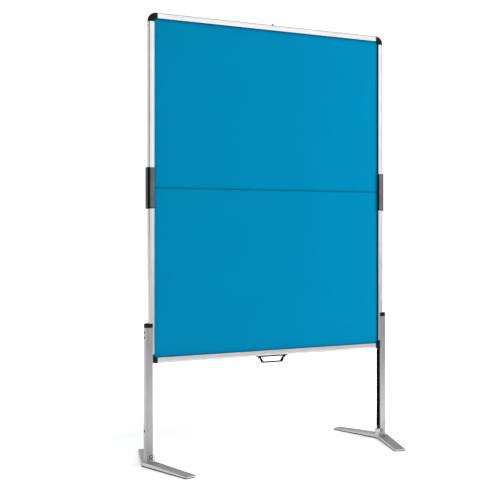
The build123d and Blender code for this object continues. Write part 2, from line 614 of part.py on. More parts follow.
def arm_screw_discs(radius, low, tall, cut):
    """Discs at the arm screws, from height low upwards, cut or added."""
    with BuildSketch(arm_plane(low)) as discs:
        with Locations(arm_screw_spots):
            Circle(radius)
    extrude(discs.sketch, amount=tall, mode=Mode.SUBTRACT if cut else Mode.ADD)


# The heel stands under the leg's outer half and stops the foot when it is level
heel_x = WEB_X + LEG_WALL
with BuildPart() as foot_hub:
    with BuildSketch(arm_plane(FOOT_PAD)):
        mitre_outline(HUB_REACH, 0)
    extrude(amount=FOOT_PLATE)
    with BuildSketch(arm_plane(FOOT_TOP - GROOVE_DEEP)):
        tread_grooves()
    extrude(amount=GROOVE_DEEP, mode=Mode.SUBTRACT)
    with BuildSketch(arm_plane(tenon_z)):
        with Locations((HUB_REACH, -ARM_WIDTH / 2)):
            Rectangle(TENON_LONG, TENON_WIDE, align=(Align.MIN, Align.CENTER))
    extrude(amount=TENON_THICK)
    arm_screw_discs(ARM_SCREW_R + FIT, tenon_z, TENON_THICK, True)
    mirror(about=Plane.XZ)
    with BuildSketch(Plane.XZ) as lug:
        with Locations((PIVOT_X + LUG_RISE, FOOT_PAD)):
            Rectangle(LUG_INBOARD + LUG_RISE, PIVOT_UP + LUG_RISE - FOOT_PAD, align=(Align.MAX, Align.MIN))
        fillet(lug.vertices().group_by(Axis.Y)[-1], LUG_RISE - FIT)
    extrude(amount=HALF_D, both=True)
    with Locations((heel_x, 0, LEG_BOTTOM - SLIP)):
        Box(LEG_OUT_X - heel_x, RAIL_DEPTH, LEG_BOTTOM - SLIP - FOOT_TOP + GROOVE_DEEP,
            align=(Align.MIN, Align.CENTER, Align.MAX))
    with BuildSketch(Plane.XZ):
        with Locations((PIVOT_X, PIVOT_UP)):
            Circle(PIVOT_PIN_R + RUNNING)
    extrude(amount=LEG_HALF_D, both=True, mode=Mode.SUBTRACT)
save(foot_hub, "foot_hub_right")
save_mirrored(foot_hub, "foot_hub_left", MID_PLANE)

arm_start = HUB_REACH + FIT
taper = atan((FOOT_PLATE - TIP_PLATE) / (ARM_LENGTH - arm_start))


def arm_top_plane(drop):
    """Plane below the front arm's sloping top by drop: local x down the slope, local y outboard."""
    return Plane(origin=(VERTEX_X - arm_start * sin(SPLAY), -arm_start * cos(SPLAY), FOOT_TOP - drop),
                 x_dir=(-sin(SPLAY) * cos(taper), -cos(SPLAY) * cos(taper), -sin(taper)),
                 z_dir=(-sin(SPLAY) * sin(taper), -cos(SPLAY) * sin(taper), cos(taper)))


with BuildPart() as foot_arm:
    with BuildSketch(arm_plane(FOOT_PAD)) as arm_outline:
        with Locations((arm_start, 0)):
            Rectangle(ARM_LENGTH - arm_start, ARM_WIDTH, align=(Align.MIN, Align.MAX))
        fillet(arm_outline.vertices().group_by(Axis.X)[-1], ARM_TIP_ROUND)
    extrude(amount=FOOT_PLATE)
    with BuildSketch(arm_top_plane(0)):
        Rectangle(2 * ARM_LENGTH, 3 * ARM_WIDTH)
    extrude(amount=FOOT_PLATE, mode=Mode.SUBTRACT)
    with BuildSketch(arm_top_plane(GROOVE_DEEP)):
        tread_grooves()
    extrude(amount=FOOT_PLATE, mode=Mode.SUBTRACT)
    with BuildSketch(arm_plane(tenon_z - FIT)):
        with Locations((HUB_REACH, -ARM_WIDTH / 2)):
            Rectangle(TENON_LONG + FIT, TENON_WIDE + 2 * FIT, align=(Align.MIN, Align.CENTER))
    extrude(amount=TENON_THICK + 2 * FIT, mode=Mode.SUBTRACT)
    arm_screw_discs(ARM_SCREW_R + FIT, FOOT_PAD, FOOT_PLATE / 2, True)
    arm_screw_discs(ARM_SCREW_HEAD_R + FIT, FOOT_PAD, ARM_SCREW_HEAD_TALL, True)
save(foot_arm, "foot_front_arm_right")
save_mirrored(foot_arm, "foot_front_arm_left", MID_PLANE)
foot_rear_arm = save_mirrored(foot_arm, "foot_rear_arm_right", Plane.XZ)
save_mirrored(foot_rear_arm, "foot_rear_arm_left", MID_PLANE)

screw_top = tenon_z + TENON_THICK - FIT
with BuildPart() as foot_screws:
    arm_screw_discs(ARM_SCREW_HEAD_R, FOOT_PAD + FIT, ARM_SCREW_HEAD_TALL - FIT, False)
    arm_screw_discs(ARM_SCREW_R, FOOT_PAD + FIT, screw_top - FOOT_PAD - FIT, False)
    mirror(about=Plane.XZ)
save(foot_screws, "foot_screws_right")
save_mirrored(foot_screws, "foot_screws_left", MID_PLANE)

with BuildPart() as foot_pads:
    with BuildSketch(arm_plane(0)):
        mitre_outline(ARM_LENGTH - ARM_TIP_ROUND, FOOT_PAD_INSET)
    extrude(amount=FOOT_PAD)
    mirror(about=Plane.XZ)
save(foot_pads, "foot_pads_right")
save_mirrored(foot_pads, "foot_pads_left", MID_PLANE)

# Handle: base plate with two ears, and a bail that swings on two pins
pivot_z = Z_LOW - HANDLE_PIVOT_DROP
ear_in = BAIL_TOP_HALF + SLIP
with BuildPart() as handle_base:
    with Locations((0, 0, Z_LOW)):
        Box(HANDLE_LENGTH, HANDLE_DEPTH, HANDLE_PLATE, align=(Align.CENTER, Align.CENTER, Align.MAX))
    fillet(handle_base.edges().filter_by(Axis.Z), HANDLE_ROUND)
    with BuildSketch(out_plane(ear_in, 0, 0)):
        with Locations((0, Z_LOW)):
            Rectangle(2 * HANDLE_EYE_R, HANDLE_PIVOT_DROP, align=(Align.CENTER, Align.MAX))
        with Locations((0, pivot_z)):
            Circle(HANDLE_EYE_R)
    extrude(amount=HANDLE_EAR)
    mirror(about=MID_PLANE)
    with BuildSketch(out_plane(0, 0, pivot_z)):
        Circle(HANDLE_PIN_R + FIT)
    extrude(amount=HANDLE_LENGTH, both=True, mode=Mode.SUBTRACT)
    for x in (-HANDLE_SCREW_AT, HANDLE_SCREW_AT):
        bore(Plane(origin=(x, 0, Z_LOW - HANDLE_PLATE), z_dir=(0, 0, -1)),
             SCREW_SHANK_R + FIT, HANDLE_PLATE)
        bore(Plane(origin=(x, 0, Z_LOW - HANDLE_PLATE), z_dir=(0, 0, -1)),
             SCREW_HEAD_R + FIT, HANDLE_PLATE / 2)
save(handle_base, "handle_base")

pin_in = BAIL_TOP_HALF - BAIL_EYE_WIDE - HANDLE_PIN_R
with BuildPart() as handle_pins:
    boss(out_plane(pin_in, 0, pivot_z), HANDLE_PIN_R, ear_in + HANDLE_EAR - pin_in)
    mirror(about=MID_PLANE)
save(handle_pins, "handle_pins")

with BuildPart() as handle_screws:
    for x in (-HANDLE_SCREW_AT, HANDLE_SCREW_AT):
        seat = Plane(origin=(x, 0, Z_LOW - HANDLE_PLATE / 2), z_dir=(0, 0, -1))
        boss(seat, SCREW_HEAD_R, HANDLE_PLATE / 2 - FIT)
        boss(seat, SCREW_SHANK_R, -HANDLE_PLATE / 2 - RAIL_WALL - SCREW_TIP)
save(handle_screws, "handle_screws")

bar_z = Z_LOW - BAIL_DROP
with BuildPart() as handle_bail:
    with BuildSketch(Plane.XZ) as strap:
        with BuildLine():
            Polyline((0, bar_z - BAIL_THICK / 2), (BAIL_BAR_HALF, bar_z - BAIL_THICK / 2),
                     (BAIL_TOP_HALF, pivot_z + HANDLE_EYE_R),
                     (BAIL_TOP_HALF - BAIL_EYE_WIDE, pivot_z + HANDLE_EYE_R),
                     (BAIL_BAR_HALF - BAIL_STRAP_WIDE, bar_z + BAIL_THICK / 2),
                     (0, bar_z + BAIL_THICK / 2), (0, bar_z - BAIL_THICK / 2))
        make_face()
        fillet(strap.vertices().sort_by_distance((BAIL_BAR_HALF, bar_z - BAIL_THICK / 2))[0], BAIL_THICK)
    extrude(amount=BAIL_BAR_WIDE / 2, both=True)
    mirror(about=MID_PLANE)
    with BuildSketch(out_plane(0, 0, 0)):
        with BuildLine():
            Polyline((-HANDLE_EYE_R, pivot_z), (-HANDLE_EYE_R, pivot_z - HANDLE_EYE_R / 2),
                     (-BAIL_BAR_WIDE / 2, bar_z), (-BAIL_BAR_WIDE / 2, bar_z - BAIL_THICK),
                     (BAIL_BAR_WIDE / 2, bar_z - BAIL_THICK), (BAIL_BAR_WIDE / 2, bar_z),
                     (HANDLE_EYE_R, pivot_z - HANDLE_EYE_R / 2), (HANDLE_EYE_R, pivot_z),
                     (-HANDLE_EYE_R, pivot_z))
        make_face()
        with Locations((0, pivot_z)):
            Circle(HANDLE_EYE_R)
    extrude(amount=HANDLE_LENGTH, both=True, mode=Mode.INTERSECT)
    with BuildSketch(out_plane(0, 0, pivot_z)):
        Circle(HANDLE_PIN_R + RUNNING)
    extrude(amount=HANDLE_LENGTH, both=True, mode=Mode.SUBTRACT)
save(handle_bail, "handle_bail")
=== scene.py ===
"""Dresses the folding pinboard: felt panels, anodised frame, moulded fittings, legs, feet and studio.

Metres, +Z up, X along the board's width, -Y towards the viewer.
"""
import logging
import random
from collections.abc import Sequence
from dataclasses import dataclass
from enum import Enum
from math import ceil, cos, hypot, pi, radians, sin

import bmesh
import bpy
from bmesh.types import BMesh, BMVert
from bpy.types import Material, Node, NodeSocket, NodeTree, Object
from mathutils import Matrix, Vector


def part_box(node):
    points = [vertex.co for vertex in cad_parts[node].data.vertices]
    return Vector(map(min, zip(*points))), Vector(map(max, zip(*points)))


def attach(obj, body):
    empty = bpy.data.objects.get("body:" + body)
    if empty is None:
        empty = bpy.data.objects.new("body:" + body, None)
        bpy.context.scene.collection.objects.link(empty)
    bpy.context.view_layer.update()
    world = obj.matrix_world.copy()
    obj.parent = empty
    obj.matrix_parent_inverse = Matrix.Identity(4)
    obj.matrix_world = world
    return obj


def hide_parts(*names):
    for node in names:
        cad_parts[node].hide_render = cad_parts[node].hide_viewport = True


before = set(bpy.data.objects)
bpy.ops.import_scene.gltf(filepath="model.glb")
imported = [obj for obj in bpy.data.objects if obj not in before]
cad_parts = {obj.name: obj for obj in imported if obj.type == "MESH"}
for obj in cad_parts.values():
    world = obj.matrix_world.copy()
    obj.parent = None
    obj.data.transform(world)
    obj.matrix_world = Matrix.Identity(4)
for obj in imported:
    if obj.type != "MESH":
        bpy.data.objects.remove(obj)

log = logging.getLogger("pinboard")
MM = 0.001
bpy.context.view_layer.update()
# Points of a CAD mesh that lie closer together than this are one point
WELD = 0.002 * MM
# Neighbouring faces that turn by less than this are one flat face
FLAT = radians(0.5)
# Edges that turn by more than this are rounded
SHARP = radians(40)
# Most values of one noise lie in the first span, and of two noises multiplied in the second
NOISE_SPAN = (0.3, 0.7)
PRODUCT_SPAN = (0.1, 0.42)
WHITE = (1.0, 1.0, 1.0, 1.0)
Colour = tuple[float, float, float, float]
Triple = tuple[float, float, float]
Pair = tuple[float, float]
Stop = tuple[float, Colour]


class Side(Enum):
    """Which side of the board a piece is on; the value is the sign of X."""

    LEFT = -1
    RIGHT = 1

    @property
    def word(self) -> str:
        """The side's word in the names of nodes and bodies."""
        return self.name.lower()


class Half(Enum):
    """Which half of the folding board a piece belongs to; the value is the sign away from the seam."""

    LOWER = -1
    UPPER = 1

    @property
    def word(self) -> str:
        """The half's word in the names of nodes and bodies."""
        return self.name.lower()

    @property
    def body(self) -> str:
        """The body that the half's pieces ride on."""
        return f"{self.word}_board"

    @property
    def cross_rail(self) -> str:
        """The node of the level rail along the half's free edge."""
        return "top_rail" if self is Half.UPPER else "bottom_rail"


class Run(Enum):
    """The direction in which a profile was extruded, so that its die lines follow it."""

    ALONG_X = "x"
    ALONG_Y = "y"
    ALONG_Z = "z"


def linear(tone: str) -> Colour:
    """Turn an sRGB hex colour into Blender's linear one.

    Args:
        tone: the colour, such as "#c0c0c4".

    Returns:
        Red, green, blue and alpha.
    """
    parts = [int(tone[i:i + 2], 16) / 255 for i in (1, 3, 5)]
    red, green, blue = (p / 12.92 if p <= 0.04045 else ((p + 0.055) / 1.055) ** 2.4 for p in parts)
    return red, green, blue, 1.0


def shades(tone: str, shares: Pair, span: Pair) -> list[Stop]:
    """Two shades of a colour as the stops of a ramp, with no part of either over 1.

    Args:
        tone: the colour, as sRGB hex.
        shares: each shade's share of it.
        span: each shade's place on the ramp.

    Returns:
        The place and the linear colour of each stop.
    """
    *parts, alpha = linear(tone)
    return [(place, (*(min(part * share, 1) for part in parts), alpha)) for share, place in zip(shares, span)]


def add_node(tree: NodeTree, kind: str, values: dict | None = None, links: dict | None = None,
             stops: Sequence[Stop] = (), **settings: object) -> Node:
    """Add one node with its settings, constants and links.

    Args:
        tree: the node tree that gets it.
        kind: Blender's name of the node type, without the ShaderNode that each begins with.
        values: constants, by the name or number of the input.
        links: outputs that feed the node, by the name or number of the input.
        stops: the places and colours of a ramp.
        settings: the node's own settings.

    Returns:
        The new node.
    """
    node = tree.nodes.new(f"ShaderNode{kind}")
    for key, value in settings.items():
        setattr(node, key, value)
    for key, value in (values or {}).items():
        node.inputs[key].default_value = value
    for key, output in (links or {}).items():
        tree.links.new(output, node.inputs[key])
    for number, (place, colour) in enumerate(stops):
        node.color_ramp.elements[number].position = place
        node.color_ramp.elements[number].color = colour
    return node


def towards(tree: NodeTree, place: NodeSocket, way: Triple, span: Pair, levels: Pair) -> NodeSocket:
    """Change smoothly from one level to another, the further a place lies towards one side.

    Args:
        tree: the node tree that gets it.
        place: the place, or the direction.
        way: the side.
        span: how far towards it the change starts and ends.
        levels: the values before and after the change.

    Returns:
        The value.
    """
    far = add_node(tree, "VectorMath", {1: way}, {0: place}, operation="DOT_PRODUCT")
    return add_node(tree, "MapRange",
                    {"From Min": span[0], "From Max": span[1], "To Min": levels[0], "To Max": levels[1]},
                    {"Value": far.outputs["Value"]}, interpolation_type="SMOOTHSTEP").outputs[0]


@dataclass(frozen=True)
class Finish:
    """A material and how its surface was made."""

    name: str

    def material(self) -> Material:
        """The finish as a Blender material, made once and shared.

        Returns:
            The material.
        """
        made = bpy.data.materials.get(self.name)
        if made is None:
            made = bpy.data.materials.new(self.name)
            made.use_nodes = True
            tree = made.node_tree
            tree.nodes.clear()
            place = add_node(tree, "TexCoord").outputs["Object"]
            surface = self.surface(tree, place)
            add_node(tree, "OutputMaterial", links={"Surface": surface.outputs[0]})
        return made

    def surface(self, tree: NodeTree, place: NodeSocket) -> Node:
        """Lay out the shader; each kind of finish does this its own way."""
        raise NotImplementedError


@dataclass(frozen=True)
class AnodisedAluminium(Finish):
    """Aluminium, extruded, etched and clear anodised: a satin grey metal with faint die lines along it.

    Real die lines are about 0.1 mm apart; they are drawn 1.4 mm apart to show at all.
    """

    tone: str = "#c7c7ca"
    roughness: float = 0.3
    run: Run = Run.ALONG_Z
    turned: float = 0.0
    line: float = 1.4 * MM
    length: float = 160 * MM
    cloud: float = 90 * MM
    line_depth: float = 0.03 * MM
    satin_spread: float = 0.07
    shares: Pair = (0.9, 1.06)

    def surface(self, tree: NodeTree, place: NodeSocket) -> Node:
        """Draw the die lines in the metal's colour, satin and relief.

        Args:
            tree: the material's node tree.
            place: the piece's own coordinates.

        Returns:
            The shader.
        """
        sizes = [self.line] * 3
        sizes["xyz".index(self.run.value)] = self.length
        along = add_node(tree, "Mapping", {"Scale": sizes, "Rotation": (0, 0, self.turned)},
                         {"Vector": place}, vector_type="TEXTURE")
        lines = add_node(tree, "TexNoise", {"Scale": 1.0, "Detail": 2.0},
                         {"Vector": along.outputs[0]}).outputs["Fac"]
        cloud = add_node(tree, "TexNoise", {"Scale": 1 / self.cloud, "Detail": 2.0},
                         {"Vector": place}).outputs["Fac"]
        shade = add_node(tree, "Math", links={0: lines, 1: cloud}, operation="MULTIPLY")
        satin = add_node(tree, "MapRange",
                         {"To Min": self.roughness - self.satin_spread,
                          "To Max": self.roughness + self.satin_spread}, {"Value": lines})
        relief = add_node(tree, "Bump", {"Strength": 0.25, "Distance": self.line_depth}, {"Height": lines})
        return add_node(tree, "BsdfPrincipled", {"Metallic": 1.0},
                        {"Base Color": self.colour(tree, shade.outputs[0]), "Roughness": satin.outputs[0],
                         "Normal": relief.outputs[0]})

    def colour(self, tree: NodeTree, shade: NodeSocket) -> NodeSocket:
        """The metal's colour, lighter and darker with the shade of the die lines."""
        stops = shades(self.tone, self.shares, PRODUCT_SPAN)
        return add_node(tree, "ValToRGB", links={"Fac": shade}, stops=stops).outputs["Color"]


@dataclass(frozen=True)
class RibbedAluminium(AnodisedAluminium):
    """The foot's profile: bright sides, and painted shade that darkens the faces turned up, where its tread
    is ribbed.
    """

    tone: str = "#d2cfd0"
    roughness: float = 0.45
    run: Run = Run.ALONG_Y
    # Painted shade: the colour of the faces turned up, darker than the sides
    tread: str = "#979091"
    tread_shares: Pair = (0.88, 1.08)
    tread_facing: Pair = (0.5, 0.9)

    def colour(self, tree: NodeTree, shade: NodeSocket) -> NodeSocket:
        """Paint shade on wherever the profile faces up, in the foot's own frame.

        Args:
            tree: the material's node tree.
            shade: the shade of the die lines.

        Returns:
            The colour.
        """
        plain = super().colour(tree, shade)
        tread = add_node(tree, "ValToRGB", links={"Fac": shade},
                         stops=shades(self.tread, self.tread_shares, PRODUCT_SPAN)).outputs["Color"]
        facing = add_node(tree, "TexCoord").outputs["Normal"]
        up = add_node(tree, "SeparateXYZ", links={0: facing})
        share = add_node(tree, "MapRange",
                         {"From Min": self.tread_facing[0], "From Max": self.tread_facing[1]},
                         {"Value": up.outputs["Z"]})
        mixed = add_node(tree, "Mix", links={0: share.outputs[0], 6: plain, 7: tread}, data_type="RGBA")
        return mixed.outputs[2]


@dataclass(frozen=True)
class NeedledFelt(Finish):
    """Polyester felt, needled and dyed blue: dull, with no weave, its fibres lying every way.

    Real fibres are 0.03 mm thick; tufts of them are drawn 2.5 mm wide to show at all.
    """

    light: str = "#007198"
    dark: str = "#006284"
    tuft: float = 2.5 * MM
    tuft_height: float = 0.25 * MM
    drift: float = 240 * MM
    drift_share: float = 0.12

    def surface(self, tree: NodeTree, place: NodeSocket) -> Node:
        """Draw the tufts in the felt's colour and nap, with a slow drift of the dye.

        Args:
            tree: the material's node tree.
            place: the piece's own coordinates.

        Returns:
            The shader.
        """
        tufts = add_node(tree, "TexNoise", {"Scale": 1 / self.tuft, "Detail": 3.0, "Distortion": 1.2},
                         {"Vector": place}).outputs["Fac"]
        drift = add_node(tree, "TexNoise", {"Scale": 1 / self.drift, "Detail": 1.0},
                         {"Vector": place}).outputs["Fac"]
        mixed = add_node(tree, "Mix", {"Factor": self.drift_share}, {2: tufts, 3: drift}, data_type="FLOAT")
        dyes = [linear(self.dark), linear(self.light)]
        dyed = add_node(tree, "ValToRGB", links={"Fac": mixed.outputs[0]}, stops=[*zip(NOISE_SPAN, dyes)])
        nap = add_node(tree, "Bump", {"Strength": 0.35, "Distance": self.tuft_height}, {"Height": tufts})
        return add_node(tree, "BsdfPrincipled", {"Roughness": 1.0, "Specular IOR Level": 0.02},
                        {"Base Color": dyed.outputs["Color"], "Normal": nap.outputs[0]})


@dataclass(frozen=True)
class MouldedPlastic(Finish):
    """ABS or polypropylene from a spark-eroded mould: an even fine grain with a low sheen.

    A mould's grain is about 0.15 mm; it is drawn coarse enough to show close up.
    """

    tone: str = "#0b0b0c"
    roughness: float = 0.42
    grain: float = 0.9 * MM
    gloss: float = 0.1
    grain_depth: float = 0.05 * MM
    flow: float = 35 * MM
    smoother: float = 0.05
    rougher: float = 0.06
    shares: Pair = (0.88, 1.12)

    def surface(self, tree: NodeTree, place: NodeSocket) -> Node:
        """Draw the grain as relief, and the flow of the melt in the colour and the sheen.

        Args:
            tree: the material's node tree.
            place: the piece's own coordinates.

        Returns:
            The shader.
        """
        pits = add_node(tree, "TexVoronoi", {"Scale": 1 / self.grain}, {"Vector": place}, feature="SMOOTH_F1")
        flow = add_node(tree, "TexNoise", {"Scale": 1 / self.flow, "Detail": 2.0},
                        {"Vector": place}).outputs["Fac"]
        low, high = NOISE_SPAN
        sheen = add_node(tree, "MapRange",
                         {"From Min": low, "From Max": high, "To Min": self.roughness - self.smoother,
                          "To Max": self.roughness + self.rougher}, {"Value": flow})
        relief = add_node(tree, "Bump", {"Strength": 0.2, "Distance": self.grain_depth},
                          {"Height": pits.outputs["Distance"]})
        colour = add_node(tree, "ValToRGB", links={"Fac": flow},
                          stops=shades(self.tone, self.shares, NOISE_SPAN))
        return add_node(tree, "BsdfPrincipled", {"IOR": 1.53, "Specular IOR Level": self.gloss},
                        {"Base Color": colour.outputs["Color"], "Roughness": sheen.outputs[0],
                         "Normal": relief.outputs[0]})


@dataclass(frozen=True)
class PlatedSteel(Finish):
    """Steel with a zinc or black plating: a metal with soft cloudy patches, spangle left by the bath."""

    tone: str = "#b4b6ba"
    roughness: float = 0.34
    patch: float = 9 * MM
    patch_span: Pair = (0.3, 0.72)
    smoother: float = 0.06
    rougher: float = 0.08
    shares: Pair = (0.83, 1.1)

    def surface(self, tree: NodeTree, place: NodeSocket) -> Node:
        """Draw the patches in the metal's colour and gloss.

        Args:
            tree: the material's node tree.
            place: the piece's own coordinates.

        Returns:
            The shader.
        """
        patches = add_node(tree, "TexNoise", {"Scale": 1 / self.patch, "Detail": 4.0},
                           {"Vector": place}).outputs["Fac"]
        low, high = NOISE_SPAN
        dull = add_node(tree, "MapRange",
                        {"From Min": low, "From Max": high, "To Min": self.roughness - self.smoother,
                         "To Max": self.roughness + self.rougher}, {"Value": patches})
        colour = add_node(tree, "ValToRGB", links={"Fac": patches},
                          stops=shades(self.tone, self.shares, self.patch_span))
        return add_node(tree, "BsdfPrincipled", {"Metallic": 1.0},
                        {"Base Color": colour.outputs["Color"], "Roughness": dull.outputs[0]})


@dataclass(frozen=True)
class PressedFibre(Finish):
    """Soft fibreboard, wet pressed: dry brown fibres, quite dull.

    Fibre bundles are about 2 mm long and 0.5 mm wide in the sheet.
    """

    tone: str = "#a58a66"
    bundle: Triple = (2 * MM, 0.5 * MM, 1.2 * MM)
    bundle_height: float = 0.2 * MM
    shares: Pair = (0.58, 1.0)

    def surface(self, tree: NodeTree, place: NodeSocket) -> Node:
        """Draw the fibre bundles in the board's colour and relief.

        Args:
            tree: the material's node tree.
            place: the piece's own coordinates.

        Returns:
            The shader.
        """
        laid = add_node(tree, "Mapping", {"Scale": self.bundle}, {"Vector": place}, vector_type="TEXTURE")
        fibres = add_node(tree, "TexNoise", {"Scale": 1.0, "Detail": 4.0},
                          {"Vector": laid.outputs[0]}).outputs["Fac"]
        relief = add_node(tree, "Bump", {"Strength": 0.5, "Distance": self.bundle_height}, {"Height": fibres})
        colour = add_node(tree, "ValToRGB", links={"Fac": fibres},
                          stops=shades(self.tone, self.shares, NOISE_SPAN))
        return add_node(tree, "BsdfPrincipled", {"Roughness": 0.92},
                        {"Base Color": colour.outputs["Color"], "Normal": relief.outputs[0]})


@dataclass(frozen=True)
class StudioPaper(Finish):
    """Seamless background sheet, pale and smooth, with painted light: it glows faintly near the board and
    more further out, so that the board's shadow fades into the white behind.

    A grey card lies on it in front: the metal mirrors the card, where the eye sees only the sheet.
    """

    tone: str = "#fafafa"
    lit_near: float = 0.05
    lit_far: float = 0.7
    lit_span: Pair = (0.75, 1.35)
    card_tone: str = "#9c9c9c"
    card_way: Triple = (0.45, -0.89, 0)
    card_span: Pair = (1.2, 2.0)

    def surface(self, tree: NodeTree, place: NodeSocket) -> Node:
        """White paper, and the grey card that only reflections and soft light meet.

        Args:
            tree: the material's node tree.
            place: the sheet's own coordinates.

        Returns:
            The shader.
        """
        # Painted light: the sheet glows more the further it lies from the board
        away = add_node(tree, "VectorMath", links={0: place}, operation="LENGTH")
        glow = add_node(tree, "MapRange",
                        {"From Min": self.lit_span[0], "From Max": self.lit_span[1],
                         "To Min": self.lit_near, "To Max": self.lit_far},
                        {"Value": away.outputs["Value"]}, interpolation_type="SMOOTHSTEP")
        paper = add_node(tree, "BsdfPrincipled",
                         {"Base Color": linear(self.tone), "Roughness": 0.16, "Specular IOR Level": 0.5,
                          "Emission Color": WHITE}, {"Emission Strength": glow.outputs[0]})
        reach = towards(tree, place, self.card_way, self.card_span, (0, 1))
        card = add_node(tree, "BsdfDiffuse", {"Color": linear(self.card_tone)})
        seen = add_node(tree, "LightPath").outputs["Is Camera Ray"]
        unseen = add_node(tree, "Math", {0: 1.0}, {1: seen}, operation="SUBTRACT")
        share = add_node(tree, "Math", links={0: reach, 1: unseen.outputs[0]}, operation="MULTIPLY")
        return add_node(tree, "MixShader",
                        links={0: share.outputs[0], 1: paper.outputs[0], 2: card.outputs[0]})


BLUE_FELT = NeedledFelt("blue_needled_felt")
FIBRE_CORE = PressedFibre("pressed_fibre_core")
RAIL_ALONG_Z = AnodisedAluminium("anodised_rail_upright", run=Run.ALONG_Z)
RAIL_ALONG_X = AnodisedAluminium("anodised_rail_level", run=Run.ALONG_X)
LEG_SILVER = AnodisedAluminium("anodised_leg_channel", tone="#9f9ea0", roughness=0.32)
HUB_SILVER = RibbedAluminium("anodised_foot_hub")
BLACK_MOULDING = MouldedPlastic("black_moulded_plastic")
COVER_MOULDING = MouldedPlastic("black_moulded_cover", tone="#080809", roughness=0.45, gloss=0.03)
GREY_MOULDING = MouldedPlastic("grey_moulded_plate", tone="#4e4f52", roughness=0.36)
# Painted shade: the side plate is the front plate's grey made darker
SHADED_SIDE_PLATE = MouldedPlastic("dark_grey_moulded_plate", tone="#3a3b3d", roughness=0.42)
DARK_FILLER = MouldedPlastic("charcoal_extruded_filler", tone="#121213", roughness=0.6, gloss=0.02)
DARK_HANDLE = MouldedPlastic("dark_moulded_handle", tone="#080808", roughness=0.7, gloss=0.0)
# Painted shade: the seam's gap drawn as a dark strip
SEAM_SHADE = MouldedPlastic("dark_blue_soft_lip", tone="#003a52", roughness=0.6, gloss=0.05)
BLUE_EDGING = MouldedPlastic("blue_moulded_edging", tone="#005a7c", roughness=0.6, gloss=0.05)
# Black strips that stand for shade: on the rails' inner sides, on the legs' rear lips and in the legs'
# grooves
SHADE_STRIP = MouldedPlastic("black_extruded_liner", tone="#080809", roughness=0.6, gloss=0.05)
ZINC_STEEL = PlatedSteel("zinc_plated_steel")
BLACK_STEEL = PlatedSteel("blackened_steel", tone="#1c1c1e", roughness=0.36, patch=4 * MM)
FOOT_RUBBER = MouldedPlastic("moulded_rubber", tone="#0c0c0c", roughness=0.8, grain=1.2 * MM, gloss=0.0)
PAPER = StudioPaper("studio_paper")


def dress(node: str, finish: Finish) -> None:
    """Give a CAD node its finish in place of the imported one.

    Args:
        node: the CAD node, which keeps its shape.
        finish: its finish.
    """
    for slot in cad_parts[node].material_slots:
        slot.material = finish.material()
    log.info("%s is finished as %s", node, finish.name)


def new_piece(name: str, shape: BMesh, finish: Finish) -> Object:
    """Make an object of a finished bmesh.

    Args:
        name: the piece's name.
        shape: its mesh, which is used up.
        finish: its finish.

    Returns:
        The new object, linked to the scene.
    """
    mesh = bpy.data.meshes.new(name)
    shape.to_mesh(mesh)
    shape.free()
    mesh.materials.append(finish.material())
    piece = bpy.data.objects.new(name, mesh)
    bpy.context.scene.collection.objects.link(piece)
    return piece


def fit(piece: Object, body: str, slot: str, *nodes: str) -> None:
    """Let a piece ride on its body and stand for the CAD nodes it replaces.

    Args:
        piece: the new piece, in place.
        body: the body it moves with.
        slot: not used.
        nodes: the CAD nodes that it replaces.
    """
    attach(piece, body)
    if nodes:
        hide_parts(*nodes)
    log.info("%s rides on %s, for %s", piece.name, body, ", ".join(nodes) or "no node")


def cad_mesh(node: str) -> BMesh:
    """Take a copy of a CAD node's mesh, its faces joined at their points.

    Args:
        node: the CAD node.

    Returns:
        The copy.
    """
    shape = bmesh.new()
    shape.from_mesh(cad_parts[node].data)
    bmesh.ops.remove_doubles(shape, verts=shape.verts[:], dist=WELD)
    return shape


def soften(node: str, made: str, finish: Finish, radius: float, body: str, slot: str) -> None:
    """Replace a CAD node by its own shape with edges as round as moulding or deburring leaves them.

    Args:
        node: the CAD node.
        made: how the piece was made, the first word of its name.
        finish: its finish.
        radius: the rounding.
        body: the body it moves with.
        slot: the record's material slot.
    """
    shape = cad_mesh(node)
    bmesh.ops.dissolve_limit(shape, angle_limit=FLAT, verts=shape.verts[:], edges=shape.edges[:])
    for face in shape.faces:
        face.smooth = True
    piece = new_piece(f"{made}_{node}", shape, finish)
    rim = piece.modifiers.new("rounding", "BEVEL")
    rim.limit_method = "ANGLE"
    rim.angle_limit = SHARP
    rim.width = radius
    rim.segments = 2
    rim.use_clamp_overlap = False
    rim.harden_normals = True
    fit(piece, body, slot, node)


def join_loops(shape: BMesh, loops: list[list[BMVert]], ring: bool = False) -> None:
    """Make a wall from each loop of points to the next, and close both ends.

    Args:
        shape: the mesh that holds the points.
        loops: the loops, all with the same number of points.
        ring: True to join the last loop to the first in place of closing the ends.
    """
    pairs = list(zip(loops, loops[1:])) + ([(loops[-1], loops[0])] if ring else [])
    for low, high in pairs:
        for quad in zip(low, low[1:] + low[:1], high[1:] + high[:1], high):
            shape.faces.new(quad)
    if not ring:
        shape.faces.new(loops[0][::-1])
        shape.faces.new(loops[-1])


def turn(shape: BMesh, seat: Matrix, profile: list[Pair], hexed: int = 0, ring: bool = False) -> None:
    """Turn a profile about the Z axis of its seat.

    Args:
        shape: the mesh that gets it.
        seat: the seat's place and direction.
        profile: radius and height of each step, from the foot upwards.
        hexed: how many of the last steps are hexagons, for a key.
        ring: True to join the last step to the first in place of closing both ends.
    """
    sides = 24
    loops = []
    for number, (radius, height) in enumerate(profile):
        loop = []
        for step in range(sides):
            angle = 2 * pi * step / sides
            reach = radius
            if number >= len(profile) - hexed:
                reach *= cos(pi / 6) / cos(angle % (pi / 3) - pi / 6)
            loop.append(shape.verts.new(seat @ Vector((reach * cos(angle), reach * sin(angle), height))))
        loops.append(loop)
    join_loops(shape, loops, ring)


